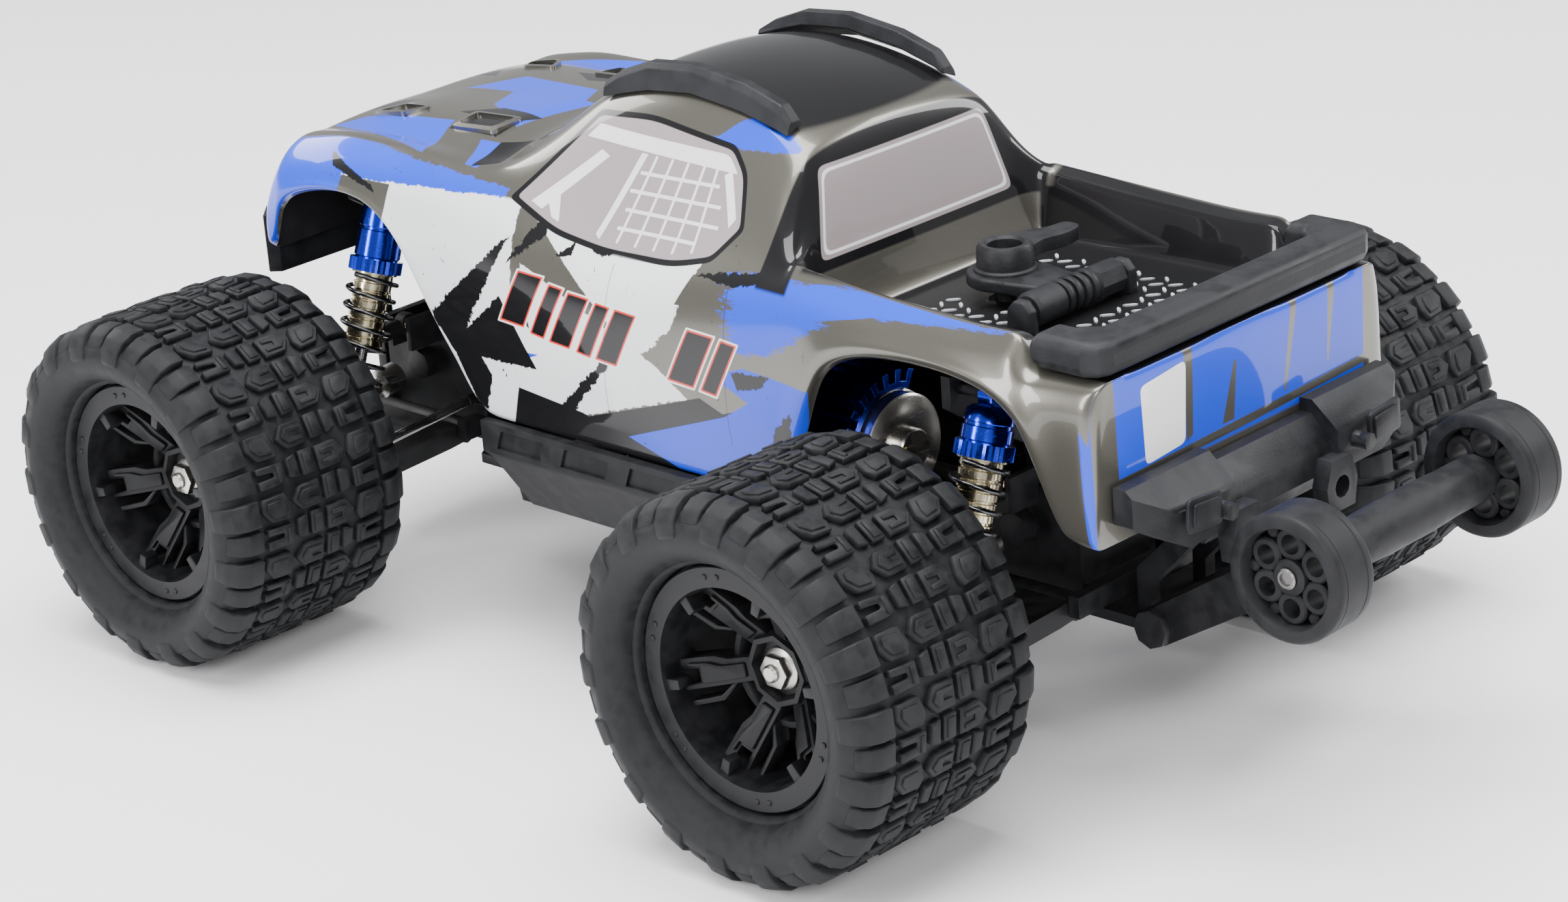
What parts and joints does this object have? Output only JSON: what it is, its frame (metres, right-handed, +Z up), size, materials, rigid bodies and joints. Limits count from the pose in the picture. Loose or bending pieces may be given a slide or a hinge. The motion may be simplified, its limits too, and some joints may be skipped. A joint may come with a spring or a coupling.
{
  "type": "radio-controlled monster truck",
  "caption": "Toy four-wheel-drive truck with fat tyres, sprung arms, steering, lift-off pickup shell, bed latch and a wheelie bar.",
  "frame": {"origin": "on the floor under the middle of the whole truck's box, between the left and right wheels", "axes": "+Z up, +Y towards the truck's rear, +X towards the truck's left side, front at -Y"},
  "size_m": [0.2264, 0.35, 0.1481],
  "materials": {
    "tyre_rubber": "matt moulded rubber",
    "wheel_plastic": "satin black moulded nylon",
    "steel": "bright turned steel",
    "suspension_plastic": "fine-grained black nylon",
    "light_metal": "satin machined",
    "blue_anodised": "blue anodised",
    "shock_barrel_metal": "polished pale gold",
    "joint_copper": "polished copper colour",
    "chassis_plastic": "grained black nylon",
    "shell_paint": "clear shell painted from the inside, glossy",
    "window_tint": "tinted clear sheet",
    "trim_plastic": "heavily grained black plastic",
    "spring_steel": "dark coated wire",
    "gear_steel": "hardened, oiled",
    "motor_can": "plated can",
    "electronics_case": "black case",
    "battery_wrap": "shrink sleeve",
    "wheelie_plastic": "satin black plastic"
  },
  "bodies": {
    "chassis": {"chassis": "chassis_plastic", "front_bulkhead": "chassis_plastic", "rear_bulkhead": "chassis_plastic", "front_bumper": "trim_plastic", "rear_bumper": "trim_plastic", "motor": "motor_can", "motor_heatsink": "blue_anodised", "steering_servo": "electronics_case", "battery": "battery_wrap", "wheelie_bar": "wheelie_plastic"},
    "shell": {"body_shell": "shell_paint", "roof_rail_left": "trim_plastic", "roof_rail_right": "trim_plastic", "bed_rail": "trim_plastic"},
    "latch": {"body_latch": "trim_plastic"},
    "drive_line": {"centre_shaft": "gear_steel"},
    "pinion": {"motor_pinion": "gear_steel"},
    "rack": {"steering_rack": "suspension_plastic"},
    "tie_rod_left": {"tie_rod_left": "steel"},
    "tie_rod_right": {"tie_rod_right": "steel"},
    "wheelie_wheel_left": {"wheelie_wheel_left": "wheelie_plastic"},
    "wheelie_wheel_right": {"wheelie_wheel_right": "wheelie_plastic"},
    "front_left_arm": {"front_left_lower_arm": "suspension_plastic"},
    "front_left_link": {"front_left_upper_link": "steel"},
    "front_left_wheel": {"front_left_tyre": "tyre_rubber", "front_left_rim": "wheel_plastic", "front_left_wheel_axle": "steel"},
    "front_left_driveshaft": {"front_left_driveshaft": "steel"},
    "front_left_shock_body": {"front_left_shock_body": "blue_anodised"},
    "front_left_shock_rod": {"front_left_shock_rod": "steel"},
    "front_left_c_hub": {"front_left_c_hub": "suspension_plastic"},
    "front_left_knuckle": {"front_left_knuckle": "suspension_plastic"},
    "front_right_arm": {"front_right_lower_arm": "suspension_plastic"},
    "front_right_link": {"front_right_upper_link": "steel"},
    "front_right_wheel": {"front_right_tyre": "tyre_rubber", "front_right_rim": "wheel_plastic", "front_right_wheel_axle": "steel"},
    "front_right_driveshaft": {"front_right_driveshaft": "steel"},
    "front_right_shock_body": {"front_right_shock_body": "blue_anodised"},
    "front_right_shock_rod": {"front_right_shock_rod": "steel"},
    "front_right_c_hub": {"front_right_c_hub": "suspension_plastic"},
    "front_right_knuckle": {"front_right_knuckle": "suspension_plastic"},
    "rear_left_arm": {"rear_left_lower_arm": "suspension_plastic"},
    "rear_left_link": {"rear_left_upper_link": "steel"},
    "rear_left_wheel": {"rear_left_tyre": "tyre_rubber", "rear_left_rim": "wheel_plastic", "rear_left_wheel_axle": "steel"},
    "rear_left_driveshaft": {"rear_left_driveshaft": "steel"},
    "rear_left_shock_body": {"rear_left_shock_body": "blue_anodised"},
    "rear_left_shock_rod": {"rear_left_shock_rod": "steel"},
    "rear_left_hub_carrier": {"rear_left_hub_carrier": "suspension_plastic"},
    "rear_right_arm": {"rear_right_lower_arm": "suspension_plastic"},
    "rear_right_link": {"rear_right_upper_link": "steel"},
    "rear_right_wheel": {"rear_right_tyre": "tyre_rubber", "rear_right_rim": "wheel_plastic", "rear_right_wheel_axle": "steel"},
    "rear_right_driveshaft": {"rear_right_driveshaft": "steel"},
    "rear_right_shock_body": {"rear_right_shock_body": "blue_anodised"},
    "rear_right_shock_rod": {"rear_right_shock_rod": "steel"},
    "rear_right_hub_carrier": {"rear_right_hub_carrier": "suspension_plastic"}
  },
  "joints": [
    {"name": "front_left_arm_swing", "type": "hinge", "parent": "chassis", "child": "front_left_arm", "pos_m": [0.02, -0.131, 0.037], "axis": [0, -1, 0], "range_deg": [0, 20], "stiffness_Nm_per_rad": 0.25, "springref_deg": -25.78},
    {"name": "front_left_link_swing", "type": "hinge", "parent": "chassis", "child": "front_left_link", "pos_m": [0.0195, -0.131, 0.062], "axis": [0, -1, 0], "range_deg": [0, 20]},
    {"name": "front_left_carrier_pivot", "type": "hinge", "parent": "front_left_arm", "child": "front_left_c_hub", "pos_m": [0.061, -0.131, 0.033], "axis": [0, -1, 0], "range_deg": [-20, 0]},
    {"name": "front_left_steer", "type": "hinge", "parent": "front_left_c_hub", "child": "front_left_knuckle", "pos_m": [0.067, -0.131, 0.044], "axis": [0, 0, 1], "range_deg": [-17, 17]},
    {"name": "front_left_wheel_spin", "type": "hinge", "parent": "front_left_knuckle", "child": "front_left_wheel", "pos_m": [0.0855, -0.131, 0.044], "axis": [1, 0, 0], "continuous": true},
    {"name": "front_left_driveshaft_spin", "type": "hinge", "parent": "front_left_arm", "child": "front_left_driveshaft", "pos_m": [0.024, -0.131, 0.0495], "axis": [0.9918, 0, -0.1277], "continuous": true},
    {"name": "front_left_shock_swing", "type": "hinge", "parent": "chassis", "child": "front_left_shock_body", "pos_m": [0.0315, -0.117, 0.104], "axis": [0, -1, 0], "range_deg": [0, 1]},
    {"name": "front_left_shock_stroke", "type": "slide", "parent": "front_left_shock_body", "child": "front_left_shock_rod", "axis": [-0.3478, 0, 0.9376], "range_m": [0, 0.0125]},
    {"name": "front_right_arm_swing", "type": "hinge", "parent": "chassis", "child": "front_right_arm", "pos_m": [-0.02, -0.131, 0.037], "axis": [0, 1, 0], "range_deg": [0, 20], "stiffness_Nm_per_rad": 0.25, "springref_deg": -25.78},
    {"name": "front_right_link_swing", "type": "hinge", "parent": "chassis", "child": "front_right_link", "pos_m": [-0.0195, -0.131, 0.062], "axis": [0, 1, 0], "range_deg": [0, 20]},
    {"name": "front_right_carrier_pivot", "type": "hinge", "parent": "front_right_arm", "child": "front_right_c_hub", "pos_m": [-0.061, -0.131, 0.033], "axis": [0, 1, 0], "range_deg": [-20, 0]},
    {"name": "front_right_steer", "type": "hinge", "parent": "front_right_c_hub", "child": "front_right_knuckle", "pos_m": [-0.067, -0.131, 0.044], "axis": [0, 0, 1], "range_deg": [-17, 17]},
    {"name": "front_right_wheel_spin", "type": "hinge", "parent": "front_right_knuckle", "child": "front_right_wheel", "pos_m": [-0.0855, -0.131, 0.044], "axis": [1, 0, 0], "continuous": true},
    {"name": "front_right_driveshaft_spin", "type": "hinge", "parent": "front_right_arm", "child": "front_right_driveshaft", "pos_m": [-0.024, -0.131, 0.0495], "axis": [0.9918, 0, 0.1277], "continuous": true},
    {"name": "front_right_shock_swing", "type": "hinge", "parent": "chassis", "child": "front_right_shock_body", "pos_m": [-0.0315, -0.117, 0.104], "axis": [0, 1, 0], "range_deg": [0, 1]},
    {"name": "front_right_shock_stroke", "type": "slide", "parent": "front_right_shock_body", "child": "front_right_shock_rod", "axis": [0.3478, 0, 0.9376], "range_m": [0, 0.0125]},
    {"name": "rear_left_arm_swing", "type": "hinge", "parent": "chassis", "child": "rear_left_arm", "pos_m": [0.02, 0.069, 0.037], "axis": [0, -1, 0], "range_deg": [0, 20], "stiffness_Nm_per_rad": 0.25, "springref_deg": -25.78},
    {"name": "rear_left_link_swing", "type": "hinge", "parent": "chassis", "child": "rear_left_link", "pos_m": [0.0195, 0.069, 0.062], "axis": [0, -1, 0], "range_deg": [0, 20]},
    {"name": "rear_left_carrier_pivot", "type": "hinge", "parent": "rear_left_arm", "child": "rear_left_hub_carrier", "pos_m": [0.061, 0.069, 0.033], "axis": [0, -1, 0], "range_deg": [-20, 0]},
    {"name": "rear_left_wheel_spin", "type": "hinge", "parent": "rear_left_hub_carrier", "child": "rear_left_wheel", "pos_m": [0.0855, 0.069, 0.044], "axis": [1, 0, 0], "continuous": true},
    {"name": "rear_left_driveshaft_spin", "type": "hinge", "parent": "rear_left_arm", "child": "rear_left_driveshaft", "pos_m": [0.024, 0.069, 0.0495], "axis": [0.9918, 0, -0.1277], "continuous": true},
    {"name": "rear_left_shock_swing", "type": "hinge", "parent": "chassis", "child": "rear_left_shock_body", "pos_m": [0.0365, 0.083, 0.0905], "axis": [0, -1, 0], "range_deg": [0, 1]},
    {"name": "rear_left_shock_stroke", "type": "slide", "parent": "rear_left_shock_body", "child": "rear_left_shock_rod", "axis": [-0.3479, 0, 0.9375], "range_m": [0, 0.0125]},
    {"name": "rear_right_arm_swing", "type": "hinge", "parent": "chassis", "child": "rear_right_arm", "pos_m": [-0.02, 0.069, 0.037], "axis": [0, 1, 0], "range_deg": [0, 20], "stiffness_Nm_per_rad": 0.25, "springref_deg": -25.78},
    {"name": "rear_right_link_swing", "type": "hinge", "parent": "chassis", "child": "rear_right_link", "pos_m": [-0.0195, 0.069, 0.062], "axis": [0, 1, 0], "range_deg": [0, 20]},
    {"name": "rear_right_carrier_pivot", "type": "hinge", "parent": "rear_right_arm", "child": "rear_right_hub_carrier", "pos_m": [-0.061, 0.069, 0.033], "axis": [0, 1, 0], "range_deg": [-20, 0]},
    {"name": "rear_right_wheel_spin", "type": "hinge", "parent": "rear_right_hub_carrier", "child": "rear_right_wheel", "pos_m": [-0.0855, 0.069, 0.044], "axis": [1, 0, 0], "continuous": true},
    {"name": "rear_right_driveshaft_spin", "type": "hinge", "parent": "rear_right_arm", "child": "rear_right_driveshaft", "pos_m": [-0.024, 0.069, 0.0495], "axis": [0.9918, 0, 0.1277], "continuous": true},
    {"name": "rear_right_shock_swing", "type": "hinge", "parent": "chassis", "child": "rear_right_shock_body", "pos_m": [-0.0365, 0.083, 0.0905], "axis": [0, 1, 0], "range_deg": [0, 1]},
    {"name": "rear_right_shock_stroke", "type": "slide", "parent": "rear_right_shock_body", "child": "rear_right_shock_rod", "axis": [0.3479, 0, 0.9375], "range_m": [0, 0.0125]},
    {"name": "rack_slide", "type": "slide", "parent": "chassis", "child": "rack", "axis": [1, 0, 0], "range_m": [-0.0085, 0.0085]},
    {"name": "tie_rod_left_swing", "type": "hinge", "parent": "rack", "child": "tie_rod_left", "pos_m": [0.015, -0.106, 0.0475], "axis": [0, -1, 0], "range_deg": [0, 20]},
    {"name": "wheelie_wheel_left_spin", "type": "hinge", "parent": "chassis", "child": "wheelie_wheel_left", "pos_m": [0.034, 0.161, 0.0675], "axis": [1, 0, 0], "continuous": true},
    {"name": "tie_rod_right_swing", "type": "hinge", "parent": "rack", "child": "tie_rod_right", "pos_m": [-0.015, -0.106, 0.0475], "axis": [0, 1, 0], "range_deg": [0, 20]},
    {"name": "wheelie_wheel_right_spin", "type": "hinge", "parent": "chassis", "child": "wheelie_wheel_right", "pos_m": [-0.034, 0.161, 0.0675], "axis": [1, 0, 0], "continuous": true},
    {"name": "shell_lift", "type": "slide", "parent": "chassis", "child": "shell", "axis": [0, 0, 1], "range_m": [0, 0.08]},
    {"name": "latch_turn", "type": "hinge", "parent": "shell", "child": "latch", "pos_m": [0, 0.075, 0.1016], "axis": [-1, 0, 0], "range_deg": [0, 80]},
    {"name": "drive_line_spin", "type": "hinge", "parent": "chassis", "child": "drive_line", "pos_m": [0, 0, 0.05], "axis": [0, 1, 0], "continuous": true},
    {"name": "pinion_spin", "type": "hinge", "parent": "chassis", "child": "pinion", "pos_m": [0.014, 0, 0.06131], "axis": [0, 1, 0], "continuous": true}
  ],
  "couplings": [
    {"joint": "front_left_link_swing", "follows": "front_left_arm_swing", "ratio": 1},
    {"joint": "front_left_carrier_pivot", "follows": "front_left_arm_swing", "ratio": -1},
    {"joint": "front_left_driveshaft_spin", "follows": "front_left_wheel_spin", "ratio": 1},
    {"joint": "front_left_shock_swing", "follows": "front_left_arm_swing", "ratio": 0.035},
    {"joint": "front_left_shock_stroke", "follows": "front_left_arm_swing", "m_per_rad": 0.0346},
    {"joint": "front_right_link_swing", "follows": "front_right_arm_swing", "ratio": 1},
    {"joint": "front_right_carrier_pivot", "follows": "front_right_arm_swing", "ratio": -1},
    {"joint": "front_right_driveshaft_spin", "follows": "front_right_wheel_spin", "ratio": 1},
    {"joint": "front_right_shock_swing", "follows": "front_right_arm_swing", "ratio": 0.035},
    {"joint": "front_right_shock_stroke", "follows": "front_right_arm_swing", "m_per_rad": 0.0346},
    {"joint": "rear_left_link_swing", "follows": "rear_left_arm_swing", "ratio": 1},
    {"joint": "rear_left_carrier_pivot", "follows": "rear_left_arm_swing", "ratio": -1},
    {"joint": "rear_left_driveshaft_spin", "follows": "rear_left_wheel_spin", "ratio": 1},
    {"joint": "rear_left_shock_swing", "follows": "rear_left_arm_swing", "ratio": 0.045},
    {"joint": "rear_left_shock_stroke", "follows": "rear_left_arm_swing", "m_per_rad": 0.0346},
    {"joint": "rear_right_link_swing", "follows": "rear_right_arm_swing", "ratio": 1},
    {"joint": "rear_right_carrier_pivot", "follows": "rear_right_arm_swing", "ratio": -1},
    {"joint": "rear_right_driveshaft_spin", "follows": "rear_right_wheel_spin", "ratio": 1},
    {"joint": "rear_right_shock_swing", "follows": "rear_right_arm_swing", "ratio": 0.045},
    {"joint": "rear_right_shock_stroke", "follows": "rear_right_arm_swing", "m_per_rad": 0.0346},
    {"joint": "front_right_steer", "follows": "front_left_steer", "ratio": 1},
    {"joint": "rack_slide", "follows": "front_left_steer", "m_per_rad": -0.025},
    {"joint": "tie_rod_left_swing", "follows": "front_left_arm_swing", "ratio": 0.89},
    {"joint": "tie_rod_right_swing", "follows": "front_right_arm_swing", "ratio": 0.89},
    {"joint": "pinion_spin", "follows": "drive_line_spin", "ratio": -2.4615}
  ]
}
